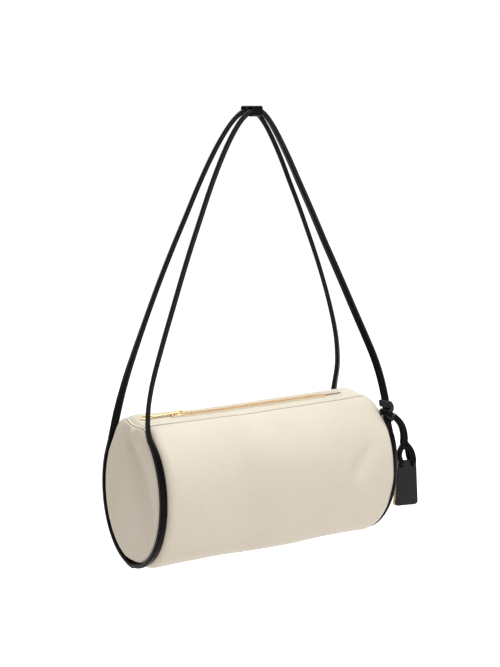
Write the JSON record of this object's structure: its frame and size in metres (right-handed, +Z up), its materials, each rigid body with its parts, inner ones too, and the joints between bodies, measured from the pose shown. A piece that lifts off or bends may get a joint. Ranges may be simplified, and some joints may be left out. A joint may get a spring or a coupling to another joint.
{
  "type": "shoulder bag",
  "caption": "Soft leather barrel shoulder bag with a zipped top, slim straps that edge its round ends and meet in a leather keeper, and a tag laced to a strap.",
  "frame": {"origin": "middle of the keeper's underside, where a hook, a rail or a shoulder carries the bag", "axes": "+Z up, +X along the barrel towards the end with the tag, -Y the front"},
  "size_m": [0.3123, 0.1236, 0.4364],
  "materials": {
    "cream_leather": "smooth soft leather, satin",
    "black_leather": "smooth leather with dyed edges, satin",
    "tan_leather": "raw flesh side, matt",
    "lining_cloth": "plain woven cloth",
    "zip_tape": "woven tape",
    "brass": "polished pale brass"
  },
  "bodies": {
    "strap": {"strap_front": "black_leather", "strap_rear": "black_leather", "strap_keeper": "black_leather"},
    "bag": {"body_wrap": "cream_leather", "lining_wrap": "lining_cloth", "end_panel_left": "cream_leather", "end_panel_right": "cream_leather", "lining_end_left": "lining_cloth", "lining_end_right": "lining_cloth", "top_end_left": "cream_leather", "top_end_right": "cream_leather", "zip_tape_left_end": "zip_tape", "zip_tape_right_end": "zip_tape", "zip_top_stop_front": "brass", "zip_top_stop_rear": "brass", "zip_bottom_stop": "brass", "tag_knot": "black_leather", "strap_edging_left_front": "black_leather", "strap_edging_left_rear": "black_leather", "strap_edging_right_front": "black_leather", "strap_edging_right_rear": "black_leather", "strap_bend_left_front": "black_leather", "strap_bend_left_rear": "black_leather", "strap_bend_right_front": "black_leather", "strap_bend_right_rear": "black_leather"},
    "mouth_front": {"top_strip_front": "cream_leather", "zip_tape_front": "zip_tape", "zip_teeth_front": "brass"},
    "mouth_rear": {"top_strip_rear": "cream_leather", "zip_tape_rear": "zip_tape", "zip_teeth_rear": "brass"},
    "slider": {"zip_slider": "brass"},
    "pull": {"zip_pull": "brass"},
    "tag": {"tag_front": "black_leather", "tag_back": "tan_leather", "tag_lace_inner": "black_leather", "tag_lace_outer": "black_leather"}
  },
  "joints": [
    {"name": "bag_swing", "type": "hinge", "parent": "strap", "child": "bag", "pos_m": [0, 0, -0.29], "axis": [1, 0, 0], "range_deg": [-45, 45], "deforming": ["strap_bend_left_front", "strap_bend_left_rear", "strap_bend_right_front", "strap_bend_right_rear"]},
    {"name": "zip_slide", "type": "slide", "parent": "bag", "child": "slider", "axis": [1, 0, 0], "range_m": [0, 0.1838]},
    {"name": "mouth_front_open", "type": "hinge", "parent": "bag", "child": "mouth_front", "pos_m": [0, -0.0198, -0.2833], "axis": [1, 0, 0], "range_deg": [0, 70.5], "deforming": ["zip_tape_front", "zip_teeth_front"]},
    {"name": "mouth_rear_open", "type": "hinge", "parent": "bag", "child": "mouth_rear", "pos_m": [0, 0.0198, -0.2833], "axis": [-1, 0, 0], "range_deg": [0, 70.5], "deforming": ["zip_tape_rear", "zip_teeth_rear"]},
    {"name": "pull_flip", "type": "hinge", "parent": "slider", "child": "pull", "pos_m": [-0.0839, 0, -0.27765], "axis": [0, 1, 0], "range_deg": [0, 175]},
    {"name": "tag_swing", "type": "hinge", "parent": "bag", "child": "tag", "pos_m": [0.1433, -0.04375, -0.2967], "axis": [1, 0, 0], "range_deg": [-45, 45]}
  ],
  "couplings": [
    {"joint": "mouth_front_open", "follows": "zip_slide", "rad_per_m": 6.647},
    {"joint": "mouth_rear_open", "follows": "zip_slide", "rad_per_m": 6.647}
  ]
}
